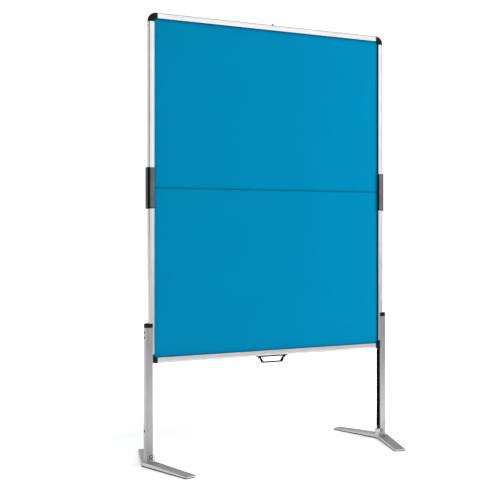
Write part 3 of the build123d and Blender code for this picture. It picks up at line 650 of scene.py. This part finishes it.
def prism(shape: BMesh, outline: list[Vector], along: Vector) -> None:
    """Add a solid that is an outline drawn out along a vector.

    Args:
        shape: the mesh that gets it.
        outline: one end's points.
        along: the way to the other end.
    """
    near = [shape.verts.new(point) for point in outline]
    far = [shape.verts.new(point + along) for point in outline]
    shape.faces.new(near)
    shape.faces.new(far[::-1])
    for quad in zip(far, far[1:] + far[:1], near[1:] + near[:1], near):
        shape.faces.new(quad)


def settle(shape: BMesh, hard: float = 35.0) -> None:
    """Point all faces outward and shade them smooth, except across hard edges.

    Args:
        shape: the mesh.
        hard: the angle from which an edge is hard, in degrees.
    """
    bmesh.ops.recalc_face_normals(shape, faces=shape.faces[:])
    for face in shape.faces:
        face.smooth = True
    for edge in shape.edges:
        edge.smooth = len(edge.link_faces) == 2 and edge.calc_face_angle() < radians(hard)


def rounded_outline(low: Pair, high: Pair, radius: float) -> list[Pair]:
    """Points of a rectangle with round corners.

    Args:
        low: the rectangle's lower left corner.
        high: its upper right corner.
        radius: the corners' radius.

    Returns:
        The points, anticlockwise.
    """
    left, right = low[0] + radius, high[0] - radius
    bottom, top = low[1] + radius, high[1] - radius
    steps = 6
    points = []
    for number, (across, up) in enumerate(((right, top), (left, top), (left, bottom), (right, bottom))):
        for step in range(steps + 1):
            angle = pi / 2 * (number + step / steps)
            points.append((across + radius * cos(angle), up + radius * sin(angle)))
    return points


@dataclass(frozen=True)
class ScrewSeat:
    """Where a plain CAD screw sits, its head's radius and height, and its shank's radius and length."""

    place: Matrix
    wide: float
    tall: float
    shank: float
    deep: float


@dataclass
class SocketScrews:
    """Button-head screws with a hexagon socket, one in place of each plain one in a CAD node.

    The head's shape is given as shares of its radius and height, and the chamfer as one of the shank's
    radius. A flange, where there is one, is pressed under a taller head.
    """

    node: str
    body: str
    name: str
    flange: float = 0.0
    chamfer: float = 0.25
    neck: float = 0.97
    rim: float = 0.08
    dome: tuple[Pair, ...] = ((1, 0.55), (0.94, 0.78), (0.82, 0.94), (0.66, 1), (0.58, 1))
    socket: tuple[Pair, ...] = ((0.54, 0.9), (0.5, 0.5))
    flange_low: float = 1.12
    flange_rim: float = 0.5
    flange_tall: float = 2.6
    tip_near: float = 0.05 * MM

    def seats(self) -> list[ScrewSeat]:
        """Find each screw in the node's mesh.

        Returns:
            The seats, in the order of their places.
        """
        shape = cad_mesh(self.node)
        left = set(shape.verts)
        found = []
        while left:
            island = {left.pop()}
            edge = list(island)
            while edge:
                near = {other for line in edge.pop().link_edges for other in line.verts} - island
                island |= near
                edge.extend(near)
            left -= island
            found.append(self.measure([vert.co.copy() for vert in island]))
        shape.free()
        return sorted(found, key=lambda seat: tuple(round(c, 5) for c in seat.place.translation))

    def measure(self, points: list[Vector]) -> ScrewSeat:
        """Work out a screw's seat and sizes.

        Args:
            points: all the points of the screw's mesh.

        Returns:
            The seat.
        """
        low = [min(p[i] for p in points) for i in range(3)]
        high = [max(p[i] for p in points) for i in range(3)]
        spans = [b - a for a, b in zip(low, high)]
        axis = max(range(3), key=lambda i: abs(spans[i] - spans[i - 1]) + abs(spans[i] - spans[i - 2]))
        middle = Vector([(a + b) / 2 for a, b in zip(low, high)])

        def reach(point: Vector) -> float:
            """Distance of a point from the screw's axis."""
            return hypot(*(point[i] - middle[i] for i in range(3) if i != axis))

        wide = max(reach(p) for p in points)
        head = [p[axis] for p in points if reach(p) > wide * self.neck]
        way = 1 if sum(head) / len(head) > middle[axis] else -1
        under, tip = (min(head), low[axis]) if way > 0 else (max(head), high[axis])
        shank = max(reach(p) for p in points if abs(p[axis] - tip) < self.tip_near)
        middle[axis] = under
        normal = Vector([way if i == axis else 0 for i in range(3)])
        place = Matrix.Translation(middle) @ normal.to_track_quat("Z", "X").to_matrix().to_4x4()
        return ScrewSeat(place, wide, max(head) - min(head), shank, abs(under - tip))

    def profile(self, seat: ScrewSeat) -> list[Pair]:
        """Draw a screw's outline, from its tip up and down again into its socket.

        Args:
            seat: the plain screw that it replaces.

        Returns:
            Radius and height of each step.
        """
        wide, tall, rim = seat.wide, seat.tall, self.rim
        neck = wide * self.neck
        steps = [(seat.shank * (1 - self.chamfer), -seat.deep),
                 (seat.shank, -seat.deep + seat.shank * self.chamfer), (seat.shank, 0), (neck, 0)]
        if self.flange:
            steps += [(neck, tall * self.flange_low), (wide + self.flange, tall * self.flange_low)]
            wide, tall, rim = wide + self.flange, tall * self.flange_tall, self.flange_rim
        steps.append((wide, tall * rim))
        return steps + [(wide * across, tall * up) for across, up in self.dome + self.socket]

    def build(self) -> None:
        """Turn every screw and put them in the node's place."""
        shape = bmesh.new()
        for seat in self.seats():
            turn(shape, seat.place, self.profile(seat), hexed=len(self.socket))
        settle(shape)
        fit(new_piece(self.name, shape, BLACK_STEEL), self.body, "steel_screws", self.node)


@dataclass
class BoardFrame:
    """Rails, corner caps, brackets and screws of one half of the board, and a black strip of painted shade
    along its inner edge.
    """

    half: Half
    soft: float = 0.5 * MM
    cap_round: float = 13.0 * MM
    liner_thick: float = 0.9 * MM
    liner_back: float = 0.5 * MM
    felt_clear: float = 0.15 * MM

    def dress(self) -> None:
        """Finish the rails, caps, brackets and screws, and lay painted shade along the frame's inner edge."""
        part, body = self.half.word, self.half.body
        dress(self.half.cross_rail, RAIL_ALONG_X)
        for side in Side:
            dress(f"{part}_side_rail_{side.word}", RAIL_ALONG_Z)
            soften(f"corner_cap_{part}_{side.word}", "moulded", BLACK_MOULDING, self.soft, body,
                   "black_plastic")
            dress(f"corner_bracket_{part}_{side.word}", ZINC_STEEL)
        SocketScrews(f"{part}_corner_screws", body, f"{part}_corner_socket_screws").build()
        SocketScrews(f"{part}_leaf_screws", body, f"{part}_leaf_socket_screws").build()
        if self.half is Half.UPPER:
            dress("top_stud", BLACK_MOULDING)
        self.line()

    def path(self) -> list[tuple[float, float, float, float]]:
        """Follow the frame's inner edge from the seam, round both corners and back to the seam.

        Returns:
            For each point, the X and Z of the way outward, and its own X and Z.
        """
        upper = self.half is Half.UPPER
        away = self.half.value
        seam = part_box(f"{self.half.word}_seam_strip")[1 if upper else 0].z
        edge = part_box(self.half.cross_rail)[0 if upper else 1].z
        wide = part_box(f"{self.half.word}_side_rail_right")[0].x
        turn_x, turn_z = wide - self.cap_round, edge - away * self.cap_round
        steps = 8
        points = [(1, 0, wide, seam)]
        for step in range(steps + 1):
            angle = pi / 2 * step / steps
            points.append((cos(angle), away * sin(angle), turn_x + self.cap_round * cos(angle),
                           turn_z + away * self.cap_round * sin(angle)))
        return points + [(-a, b, -x, z) for a, b, x, z in reversed(points)]

    def line(self) -> None:
        """Lay painted shade on the inner edge: a thin black strip on each side, from the felt to the rails'
        face.
        """
        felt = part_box(f"{self.half.word}_felt_front")[0].y - self.felt_clear
        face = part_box(self.half.cross_rail)[0].y + self.liner_back
        thick = self.liner_thick
        section = [(0, felt), (thick, felt), (thick, face + thick / 2), (thick / 2, face), (0, face)]
        shape = bmesh.new()
        for out in (1, -1):
            join_loops(shape, [[shape.verts.new((x - a * inner, out * y, z - b * inner))
                                for inner, y in section] for a, b, x, z in self.path()])
        settle(shape)
        fit(new_piece(f"{self.half.word}_frame_liner", shape, SHADE_STRIP), self.half.body, "black_plastic")


@dataclass
class PinPanel:
    """Fibre core of one half, with felt stretched over the front and the back.

    The felt stands out a little more over seeded lumps in the core, less near the rails and the seam.
    """

    half: Half
    pitch: float = 12 * MM
    thick: float = 0.9 * MM
    crown: float = 0.08 * MM
    corner: float = 20 * MM
    lumps: int = 40
    lump_sizes: Pair = (50 * MM, 160 * MM)
    lumps_full: int = 3
    rail_fade: float = 11 * MM
    seam_fade: float = 3 * MM
    lip_half: float = 1.6 * MM
    lip_taper: float = 0.6
    lip_clear: float = 0.1 * MM

    def build(self) -> None:
        """Lay the felt on both faces, and finish the core and its edging."""
        dress(f"{self.half.word}_panel_core", FIBRE_CORE)
        dress(f"{self.half.word}_seam_strip", BLUE_EDGING)
        if self.half is Half.LOWER:
            self.sealing_lip()
        for face in ("front", "back"):
            self.felt(face)

    def sealing_lip(self) -> None:
        """Dark strip of painted shade on the lower edging, filling the seam up to the upper one."""
        low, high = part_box("lower_seam_strip")
        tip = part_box("upper_seam_strip")[0].z - self.lip_clear
        narrow = self.lip_half * self.lip_taper
        outline = [(-self.lip_half, high.z), (self.lip_half, high.z), (narrow, tip), (-narrow, tip)]
        shape = bmesh.new()
        prism(shape, [Vector((low.x, y, z)) for y, z in outline], Vector((high.x - low.x, 0, 0)))
        settle(shape)
        fit(new_piece("seam_sealing_lip", shape, SEAM_SHADE), "lower_board", "black_plastic")

    def rows(self, face: str, low: Vector, high: Vector) -> list[list[Triple]]:
        """Lay out the sheet's points, row by row from the bottom up.

        Args:
            face: "front" or "back".
            low: the felt's lower corner.
            high: its upper corner.

        Returns:
            X, Z and the height over the core of each point of each row.
        """
        chance = random.Random(f"{self.half.word} {face}")
        lumps = [(chance.uniform(low.x, high.x), chance.uniform(low.z, high.z),
                  chance.uniform(*self.lump_sizes)) for _ in range(self.lumps)]
        seam, rail = (high.z, low.z) if self.half is Half.LOWER else (low.z, high.z)
        across = ceil((high.x - low.x) / self.pitch)
        up = ceil((high.z - low.z) / self.pitch)
        rows = []
        for row in range(up + 1):
            z = low.z + (high.z - low.z) * row / up
            short = max(self.corner - abs(z - rail), 0)
            cut = self.corner - (self.corner ** 2 - short ** 2) ** 0.5
            line = []
            for column in range(across + 1):
                x = low.x + cut + (high.x - low.x - 2 * cut) * column / across
                swell = sum(max(0, 1 - hypot(x - a, z - b) / r) ** 2 for a, b, r in lumps) / self.lumps_full
                fade = min(x - low.x, high.x - x, high.z - z, z - low.z) / self.rail_fade
                if abs(z - seam) <= self.pitch:
                    fade = abs(z - seam) / self.seam_fade
                line.append((x, z, self.thick + self.crown * min(swell, 1) * min(fade, 1.0)))
            rows.append(line)
        return rows

    def felt(self, face: str) -> None:
        """Stretch one sheet of felt over a face of the core.

        Args:
            face: "front" or "back".
        """
        part = self.half.word
        node = f"{part}_felt_{face}"
        low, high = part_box(node)
        out = -1 if face == "front" else 1
        inner = high.y if out < 0 else low.y
        shape = bmesh.new()
        grid = [[shape.verts.new((x, inner + out * height, z)) for x, z, height in row]
                for row in self.rows(face, low, high)]
        for row, above in zip(grid, grid[1:]):
            for quad in zip(row, row[1:], above[1:], above):
                shape.faces.new(quad)
        bmesh.ops.recalc_face_normals(shape, faces=shape.faces[:])
        if out * sum(f.normal.y * f.calc_area() for f in shape.faces) < 0:
            bmesh.ops.reverse_faces(shape, faces=shape.faces[:])
        skirt = bmesh.ops.extrude_edge_only(shape, edges=[e for e in shape.edges if e.is_boundary])["geom"]
        for vert in (g for g in skirt if isinstance(g, BMVert)):
            vert.co.y = inner
        for each in shape.faces:
            each.smooth = True
        sheet = new_piece(f"{part}_blue_felt_{face}", shape, BLUE_FELT)
        fit(sheet, self.half.body, "blue_felt", node)


@dataclass
class FoldHinge:
    """Leaves, pin and cover of the fold hinge on one side."""

    side: Side
    soft: float = 0.5 * MM
    plate_in: float = 2.0 * MM
    plate_out: float = 7.2 * MM
    plate_end: float = 4.0 * MM
    plate_round: float = 4.0 * MM
    plate_proud: float = 0.5 * MM
    plate_sunk: float = 1.0 * MM
    plate_edge: float = 0.3 * MM

    def dress(self) -> None:
        """Finish the steel leaves and pin, and mould the cover with its two grey plates."""
        hand = self.side.word
        for piece in ("leaf_lower", "leaf_upper", "pin"):
            dress(f"hinge_{piece}_{hand}", ZINC_STEEL)
        soften(f"hinge_cover_{hand}", "moulded", COVER_MOULDING, self.soft, "lower_board", "black_plastic")
        self.plates()

    def plates(self) -> None:
        """Set plates on the flat front and on the outer side of the cover, its black corner between; the side
        plate is the front plate's grey, made darker as painted shade.
        """
        hand, sign = self.side.word, self.side.value
        low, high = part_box(f"hinge_cover_{hand}")
        inner, outer = (low.x, high.x) if self.side is Side.RIGHT else (high.x, low.x)
        left, right = sorted((inner + sign * self.plate_in, outer - sign * self.plate_out))
        bottom, top = low.z + self.plate_end, high.z - self.plate_end
        front = rounded_outline((left, bottom), (right, top), self.plate_round)
        flank = rounded_outline((low.y + self.plate_out, bottom), (high.y - self.plate_in, top),
                                self.plate_round)
        face, flush = low.y + self.plate_sunk, outer - sign * self.plate_sunk
        whole = self.plate_sunk + self.plate_proud
        self.plate(f"hinge_front_plate_{hand}", [Vector((x, face, z)) for x, z in front],
                   Vector((0, -whole, 0)), GREY_MOULDING)
        self.plate(f"hinge_side_plate_{hand}", [Vector((flush, y, z)) for y, z in flank],
                   Vector((sign * whole, 0, 0)), SHADED_SIDE_PLATE)

    def plate(self, name: str, outline: list[Vector], along: Vector, finish: Finish) -> None:
        """Mould one plate and set it in the cover.

        Args:
            name: the plate's name.
            outline: its outline, sunk in the cover.
            along: its thickness, the way that it stands out.
            finish: its finish.
        """
        shape = bmesh.new()
        prism(shape, outline, along)
        rims = [e for e in shape.edges
                if all((v.co - outline[0]).dot(along) > along.length_squared / 2 for v in e.verts)]
        bmesh.ops.bevel(shape, geom=rims, offset=self.plate_edge, segments=2, profile=0.5, affect="EDGES")
        settle(shape, hard=50.0)
        fit(new_piece(name, shape, finish), "lower_board", "grey_cover")


@dataclass
class Leg:
    """Channel, cap, filler, clamp screws and foot pivot of one leg."""

    side: Side
    cap_soft: float = 0.5 * MM
    filler_soft: float = 0.4 * MM
    flange: float = 1.4 * MM
    groove: float = 10.0 * MM
    # Thickness of the black strip of painted shade in the groove
    lining: float = 0.4 * MM
    clear: float = 0.05 * MM
    line_at: float = 8.6 * MM
    line_wide: float = 1.0 * MM
    line_low: float = 0.45 * MM
    line_high: float = 0.2 * MM
    pin: float = 4.0 * MM
    pin_head: float = 4.3 * MM
    pin_crown: Pair = (0.7, 0.25)
    ring_in: float = 4.7 * MM
    edge: float = 0.4 * MM
    hollow: float = 0.8 * MM

    @property
    def body(self) -> str:
        """The body that the leg's pieces ride on."""
        return f"leg_{self.side.word}"

    def dress(self) -> None:
        """Finish the channel and what is fitted in it."""
        hand = self.side.word
        dress(f"leg_channel_{hand}", LEG_SILVER)
        soften(f"leg_cap_{hand}", "moulded", BLACK_MOULDING, self.cap_soft, self.body, "black_plastic")
        soften(f"leg_filler_{hand}", "extruded", DARK_FILLER, self.filler_soft, self.body, "dark_filler")
        SocketScrews(f"leg_screws_{hand}", self.body, f"leg_clamp_screws_{hand}", self.flange).build()
        self.groove_lining()
        self.line_inlays()
        self.pivot()

    def groove_lining(self) -> None:
        """Thin black strip of painted shade over the channel's rear wall and its edge, along the groove in
        the filler.
        """
        hand, sign = self.side.word, self.side.value
        filler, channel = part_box(f"leg_filler_{hand}"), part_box(f"leg_channel_{hand}")
        mouth, edge = (sign * min(abs(low.x), abs(high.x)) for low, high in (filler, channel))
        edge -= sign * self.clear
        deep, inside = mouth + sign * (self.groove - self.lining), edge - sign * self.lining
        wall, back = filler[1].y - self.clear, channel[1].y
        outline = [(deep, wall - self.lining), (inside, wall - self.lining), (inside, back), (edge, back),
                   (edge, wall), (deep, wall)]
        foot = filler[0].z
        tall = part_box("bottom_rail")[0].z - self.groove - foot
        shape = bmesh.new()
        prism(shape, [Vector((x, y, foot)) for x, y in outline], Vector((0, 0, tall)))
        settle(shape)
        fit(new_piece(f"leg_groove_lining_{hand}", shape, SHADE_STRIP), self.body, "black_plastic")

    def line_inlays(self) -> None:
        """Black line of painted shade laid in the fine groove along the channel's front, and one along its
        back.
        """
        hand, sign = self.side.word, self.side.value
        low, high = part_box(f"leg_channel_{hand}")
        middle = (high.x if self.side is Side.RIGHT else low.x) - sign * self.line_at
        left, right = middle - self.line_wide / 2, middle + self.line_wide / 2
        outline = [(left, self.line_low), (right, self.line_low), (right, self.line_high),
                   (left, self.line_high)]
        tall = high.z - low.z - 2 * self.line_wide
        shape = bmesh.new()
        for face, way in ((low.y, 1), (high.y, -1)):
            prism(shape, [Vector((x, face + way * y, low.z + self.line_wide)) for x, y in outline],
                  Vector((0, 0, tall)))
        settle(shape)
        fit(new_piece(f"leg_line_inlays_{hand}", shape, SHADE_STRIP), self.body, "black_plastic")

    def pivot(self) -> None:
        """Turned pivot pin of the foot, with a bright head inside a black ring at each end."""
        hand = self.side.word
        low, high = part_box(f"foot_pivot_{hand}")
        seat = Matrix.Translation((low + high) / 2) @ Matrix.Rotation(pi / 2, 4, "X")
        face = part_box(f"leg_channel_{hand}")[1].y
        end = (high.y - low.y) / 2
        lip = end - self.edge
        rise, top = (self.pin * share for share in self.pin_crown)
        head = [(self.pin, face), (self.pin_head, face), (self.pin_head, end - self.hollow),
                (self.pin_head - self.edge, lip), (rise, end - self.edge / 4), (top, end)]
        pin = bmesh.new()
        turn(pin, seat, [(r, -h) for r, h in reversed(head)] + head)
        settle(pin)
        fit(new_piece(f"turned_pivot_pin_{hand}", pin, ZINC_STEEL), self.body, "hinge_steel",
            f"foot_pivot_{hand}")
        wide = (high.x - low.x) / 2
        ring = [(self.ring_in, face), (wide, face), (wide, lip), (wide - self.edge, end),
                (self.ring_in + self.edge, end), (self.ring_in, lip)]
        rings = bmesh.new()
        for way in (-1, 1):
            turn(rings, seat, [(r, way * h) for r, h in ring], ring=True)
        settle(rings)
        fit(new_piece(f"pivot_rings_{hand}", rings, BLACK_STEEL), self.body, "hinge_steel")


@dataclass
class Foot:
    """Hub, two arms, rubber strips and screws of one foot."""

    side: Side
    splay: float = radians(17.5)
    soft: float = 0.4 * MM

    def arm_finish(self, lean: int) -> RibbedAluminium:
        """The profile's finish, with die lines turned to follow the splayed arm.

        Args:
            lean: 1 for the arm towards the viewer, -1 for the other.

        Returns:
            The finish for that arm.
        """
        way = self.side.value * lean
        return RibbedAluminium(f"anodised_foot_arm_{'in' if way > 0 else 'out'}", turned=-way * self.splay)

    def dress(self) -> None:
        """Finish the hub, the arms and what is under them."""
        hand = self.side.word
        body = f"foot_{hand}"
        finishes = {"hub": HUB_SILVER, "front_arm": self.arm_finish(1), "rear_arm": self.arm_finish(-1)}
        for part, finish in finishes.items():
            soften(f"foot_{part}_{hand}", "ribbed", finish, self.soft, body, "foot_aluminium")
        dress(f"foot_pads_{hand}", FOOT_RUBBER)
        SocketScrews(f"foot_screws_{hand}", body, f"foot_socket_screws_{hand}").build()


@dataclass
class CarryHandle:
    """Base plate, bail, pins and screws of the handle under the board."""

    base_soft: float = 0.6 * MM
    bail_soft: float = 0.8 * MM

    def dress(self) -> None:
        """Finish the mouldings, the pins and the screws."""
        soften("handle_base", "moulded", DARK_HANDLE, self.base_soft, "lower_board", "black_plastic")
        soften("handle_bail", "moulded", DARK_HANDLE, self.bail_soft, "handle", "dark_handle")
        dress("handle_pins", ZINC_STEEL)
        SocketScrews("handle_screws", "lower_board", "handle_socket_screws").build()


@dataclass(frozen=True)
class SoftBox:
    """Square soft box: where it hangs, the point it faces, its width and its output in watts."""

    name: str
    place: Triple
    aim: Triple
    wide: float
    power: float

    def hang(self) -> None:
        """Hang the box, hidden from mirroring surfaces."""
        data = bpy.data.lights.new(self.name, "AREA")
        data.shape = "RECTANGLE"
        data.size = data.size_y = self.wide
        data.energy = self.power
        box = bpy.data.objects.new(self.name, data)
        box.location = self.place
        box.rotation_euler = (Vector(self.aim) - Vector(self.place)).to_track_quat("-Z", "Y").to_euler()
        box.visible_glossy = False
        bpy.context.scene.collection.objects.link(box)


@dataclass
class Studio:
    """Pale floor, soft light and the camera."""

    eye: Triple = (-2.060, -3.8355, 1.0178)
    heading: float = radians(-26.93)
    focal_px: float = 956.9
    horizon_px: float = 227.1
    image_px: float = 500.0
    sensor: float = 36.0
    sight: float = 100.0
    floor: float = 14.0
    floor_drop: float = 0.2 * MM
    bright_way: Triple = (0.45, -0.89, 0.15)
    bright_span: Pair = (0.2, 1.0)
    bright_glow: Pair = (0.35, 1.7)
    white_way: Triple = (-0.2, 0.98, 0.0)
    white_span: Pair = (-0.2, 0.7)
    white_glow: Pair = (0.0, 0.6)
    backdrop: float = 1.1
    boxes: tuple[SoftBox, ...] = (
        SoftBox("key_softbox", (3.0, -2.6, 3.4), (0.2, 0, 0.8), 2.2, 80.0),
        SoftBox("side_softbox", (2.6, -1.9, 1.4), (0.2, 0, 1.2), 1.6, 62.0),
        SoftBox("overhead_softbox", (0.4, -0.6, 4.4), (0, 0, 0), 4.5, 75.0),
    )

    def camera(self) -> None:
        """Level camera whose shift lifts the horizon to the photograph's row."""
        data = bpy.data.cameras.new("camera")
        data.sensor_width = self.sensor
        data.lens = self.focal_px / self.image_px * self.sensor
        data.shift_y = (self.horizon_px - self.image_px / 2) / self.image_px
        data.clip_end = self.sight
        eye = bpy.data.objects.new("camera", data)
        eye.location = self.eye
        eye.rotation_euler = (pi / 2, 0, self.heading)
        bpy.context.scene.collection.objects.link(eye)
        bpy.context.scene.camera = eye

    def lay_floor(self) -> None:
        """One round sheet of paper, a hair below the feet."""
        shape = bmesh.new()
        bmesh.ops.create_circle(shape, cap_ends=True, segments=96, radius=self.floor)
        floor = new_piece("studio_floor", shape, PAPER)
        floor.location.z = -self.floor_drop

    def light(self) -> None:
        """Surroundings with a bright side and a white one, which the eye sees as plain white, and lamps."""
        world = bpy.data.worlds.new("studio")
        world.use_nodes = True
        tree = world.node_tree
        tree.nodes.clear()
        facing = add_node(tree, "TexCoord").outputs["Generated"]
        window = towards(tree, facing, self.bright_way, self.bright_span, self.bright_glow)
        wall = towards(tree, facing, self.white_way, self.white_span, self.white_glow)
        both = add_node(tree, "Math", links={0: window, 1: wall}, operation="ADD")
        sky = add_node(tree, "Background", {"Color": WHITE}, {"Strength": both.outputs[0]})
        white = add_node(tree, "Background", {"Color": WHITE, "Strength": self.backdrop})
        seen = add_node(tree, "LightPath").outputs["Is Camera Ray"]
        mixed = add_node(tree, "MixShader", links={0: seen, 1: sky.outputs[0], 2: white.outputs[0]})
        add_node(tree, "OutputWorld", links={"Surface": mixed.outputs[0]})
        bpy.context.scene.world = world
        for box in self.boxes:
            box.hang()
        bpy.context.scene.view_settings.view_transform = "Standard"

    def build(self) -> None:
        """Set up the camera, the floor and the light."""
        self.camera()
        self.lay_floor()
        self.light()


def main() -> None:
    """Build every sub-assembly in order, then the studio."""
    logging.basicConfig(level=logging.INFO, format="%(message)s")
    for half in Half:
        BoardFrame(half).dress()
        PinPanel(half).build()
    for side in Side:
        FoldHinge(side).dress()
        Leg(side).dress()
        Foot(side).dress()
    SocketScrews("hinge_cover_screws", "lower_board", "cover_socket_screws").build()
    CarryHandle().dress()
    Studio().build()
    bpy.context.view_layer.update()


if __name__ == "__main__":
    main()
